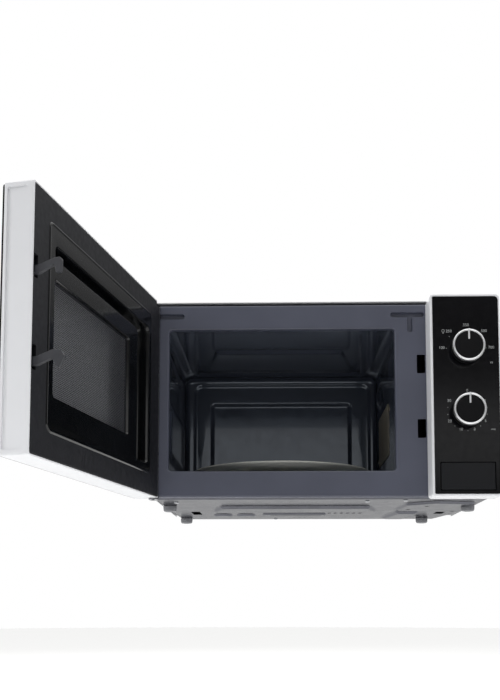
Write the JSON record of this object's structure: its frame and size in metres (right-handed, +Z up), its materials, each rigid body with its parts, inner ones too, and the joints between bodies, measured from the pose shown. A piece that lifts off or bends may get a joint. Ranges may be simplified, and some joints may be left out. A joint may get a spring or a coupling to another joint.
{
  "type": "microwave oven",
  "caption": "Compact countertop microwave oven with a side-hinged door that stands open, two turning knobs, a push button for the door and a glass turntable",
  "frame": {"origin": "on the worktop, under the middle of the outline with the door open as stored", "axes": "+Z up, +Y from the door side to the back, +X to the user's right when facing the oven"},
  "size_m": [0.5241, 0.6573, 0.2625],
  "materials": {
    "white_paint": "satin white powder coat",
    "white_plastic": "satin white moulding",
    "cavity_enamel": "glossy dark grey enamel",
    "face_enamel": "semi-gloss dark grey enamel",
    "charcoal_plastic": "fine matt texture",
    "hook_plastic": "matt grey moulding",
    "black_glass": "black-backed gloss glass",
    "black_gloss": "piano black",
    "button_plastic": "dark satin",
    "knob_plastic": "fine matt black",
    "satin_silver": "satin metallised",
    "galvanised_steel": "zinc coated sheet",
    "spring_steel": "drawn wire",
    "dark_steel": "matt black lacquer",
    "copper_winding": "enamelled copper wire",
    "bare_aluminium": "mill finish",
    "clear_glass": "clear, faint green at the edge",
    "mica_sheet": "pressed mica",
    "natural_plastic": "uncoloured moulding",
    "black_rubber": "matt",
    "foot_plastic": "grey moulding",
    "bracket_plastic": "fine matt black",
    "circuit_board": "solder resist"
  },
  "bodies": {
    "cabinet": {"cabinet_cover": "white_paint", "base_plate": "galvanised_steel", "rear_panel": "galvanised_steel", "front_frame": "face_enamel", "cavity_liner": "cavity_enamel", "cord_inlet_grommet": "black_rubber", "foot_front_left": "foot_plastic", "foot_front_right": "foot_plastic", "foot_rear_left": "foot_plastic", "foot_rear_right": "foot_plastic", "waveguide_cover": "mica_sheet", "waveguide": "galvanised_steel", "magnetron": "bare_aluminium", "transformer_core": "dark_steel", "transformer_primary_coil": "copper_winding", "transformer_secondary_coil": "copper_winding", "high_voltage_capacitor": "bare_aluminium", "capacitor_clamp": "galvanised_steel", "high_voltage_diode": "black_rubber", "line_filter_board": "circuit_board", "cavity_lamp": "natural_plastic", "thermal_cutout": "bare_aluminium", "fan_shroud": "natural_plastic", "fan_motor": "dark_steel", "latch_bracket": "bracket_plastic", "primary_interlock_switch": "black_rubber", "secondary_interlock_switch": "black_rubber", "monitor_switch": "black_rubber", "control_panel_housing": "white_plastic", "control_panel_face": "black_gloss", "timer_unit": "dark_steel", "power_selector": "dark_steel", "turntable_motor": "galvanised_steel", "lower_hinge_bracket": "galvanised_steel", "upper_hinge_bracket": "galvanised_steel"},
    "door": {"door_frame": "white_plastic", "door_outer_glass": "black_glass", "door_inner_lining": "charcoal_plastic", "door_inner_window": "clear_glass", "door_screen": "dark_steel"},
    "door_latch": {"door_latch_hooks": "hook_plastic", "door_latch_spring": "spring_steel"},
    "release_button": {"door_release_button": "button_plastic"},
    "release_lever": {"release_lever": "natural_plastic", "release_lever_spring": "spring_steel"},
    "timer_knob": {"timer_shaft": "spring_steel", "timer_knob": "knob_plastic", "timer_knob_ring": "satin_silver"},
    "power_knob": {"power_shaft": "spring_steel", "power_knob": "knob_plastic", "power_knob_ring": "satin_silver"},
    "turntable": {"turntable_glass": "clear_glass", "turntable_coupler": "natural_plastic"},
    "roller_ring": {"roller_ring": "natural_plastic"},
    "roller_wheel_1": {"roller_wheel_1": "natural_plastic"},
    "roller_wheel_2": {"roller_wheel_2": "natural_plastic"},
    "roller_wheel_3": {"roller_wheel_3": "natural_plastic"},
    "fan": {"fan_blade": "natural_plastic"}
  },
  "joints": [
    {"name": "door_hinge", "type": "hinge", "parent": "cabinet", "child": "door", "pos_m": [-0.17, 0.0115, 0.13], "axis": [0, 0, 1], "range_deg": [0, 101.2]},
    {"name": "door_latch_slide", "type": "slide", "parent": "door", "child": "door_latch", "axis": [0, 0, 1], "range_m": [0, 0.004], "stiffness_N_per_m": 300, "springref_m": -0.006},
    {"name": "release_button_press", "type": "slide", "parent": "cabinet", "child": "release_button", "axis": [0, 1, 0], "range_m": [0, 0.006], "stiffness_N_per_m": 600, "springref_m": -0.003},
    {"name": "release_lever_pivot", "type": "hinge", "parent": "cabinet", "child": "release_lever", "pos_m": [0.18, 0.028, 0.072], "axis": [1, 0, 0], "range_deg": [0, 11]},
    {"name": "timer_knob_turn", "type": "hinge", "parent": "cabinet", "child": "timer_knob", "pos_m": [0.2197, -0.021, 0.1113], "axis": [0, 1, 0], "range_deg": [0, 300]},
    {"name": "power_knob_turn", "type": "hinge", "parent": "cabinet", "child": "power_knob", "pos_m": [0.2197, -0.021, 0.1902], "axis": [0, 1, 0], "range_deg": [-100, 100]},
    {"name": "turntable_spin", "type": "hinge", "parent": "cabinet", "child": "turntable", "pos_m": [-0.0085, 0.167, 0.05], "axis": [0, 0, 1], "continuous": true},
    {"name": "roller_ring_spin", "type": "hinge", "parent": "cabinet", "child": "roller_ring", "pos_m": [-0.0085, 0.167, 0.045], "axis": [0, 0, 1], "continuous": true},
    {"name": "roller_wheel_1_spin", "type": "hinge", "parent": "roller_ring", "child": "roller_wheel_1", "pos_m": [0.088, 0.167, 0.045], "axis": [1, 0, 0], "continuous": true},
    {"name": "roller_wheel_2_spin", "type": "hinge", "parent": "roller_ring", "child": "roller_wheel_2", "pos_m": [-0.05675, 0.25057, 0.045], "axis": [-0.5, 0.866, 0], "continuous": true},
    {"name": "roller_wheel_3_spin", "type": "hinge", "parent": "roller_ring", "child": "roller_wheel_3", "pos_m": [-0.05675, 0.08343, 0.045], "axis": [-0.5, -0.866, 0], "continuous": true},
    {"name": "fan_spin", "type": "hinge", "parent": "cabinet", "child": "fan", "pos_m": [0.202, 0.303, 0.188], "axis": [0, 1, 0], "continuous": true}
  ],
  "couplings": [
    {"joint": "release_lever_pivot", "follows": "release_button_press", "rad_per_m": 31.25},
    {"joint": "roller_ring_spin", "follows": "turntable_spin", "ratio": 0.5},
    {"joint": "roller_wheel_1_spin", "follows": "turntable_spin", "ratio": -7.4231},
    {"joint": "roller_wheel_2_spin", "follows": "turntable_spin", "ratio": -7.4231},
    {"joint": "roller_wheel_3_spin", "follows": "turntable_spin", "ratio": -7.4231}
  ]
}
